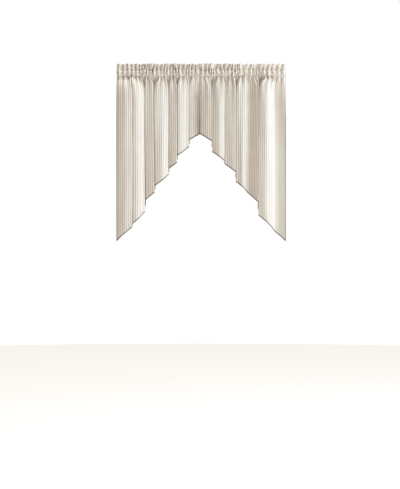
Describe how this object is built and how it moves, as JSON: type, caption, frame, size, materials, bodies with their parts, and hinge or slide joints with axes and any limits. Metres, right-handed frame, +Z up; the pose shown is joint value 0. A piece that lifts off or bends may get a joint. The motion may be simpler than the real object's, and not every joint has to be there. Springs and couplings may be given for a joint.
{
  "type": "swag and tail drape",
  "caption": "Gathered swag and tail drape of striped cloth, two panels with ruffled headers and rod pockets, hems rising to the centre and falling to side tails.",
  "frame": {"origin": "middle of the header's top edge, where the two panels meet", "axes": "+X to the right seen from the front, +Y back towards the window, +Z up"},
  "size_m": [0.874, 0.1156, 0.914],
  "materials": {
    "left_heading": "plain weave, matt",
    "right_heading": "plain weave, matt",
    "left_swag": "plain weave, matt",
    "right_swag": "plain weave, matt"
  },
  "bodies": {
    "root": {"left_heading": "left_heading", "right_heading": "right_heading", "left_swag": "left_swag", "right_swag": "right_swag"}
  },
  "joints": []
}
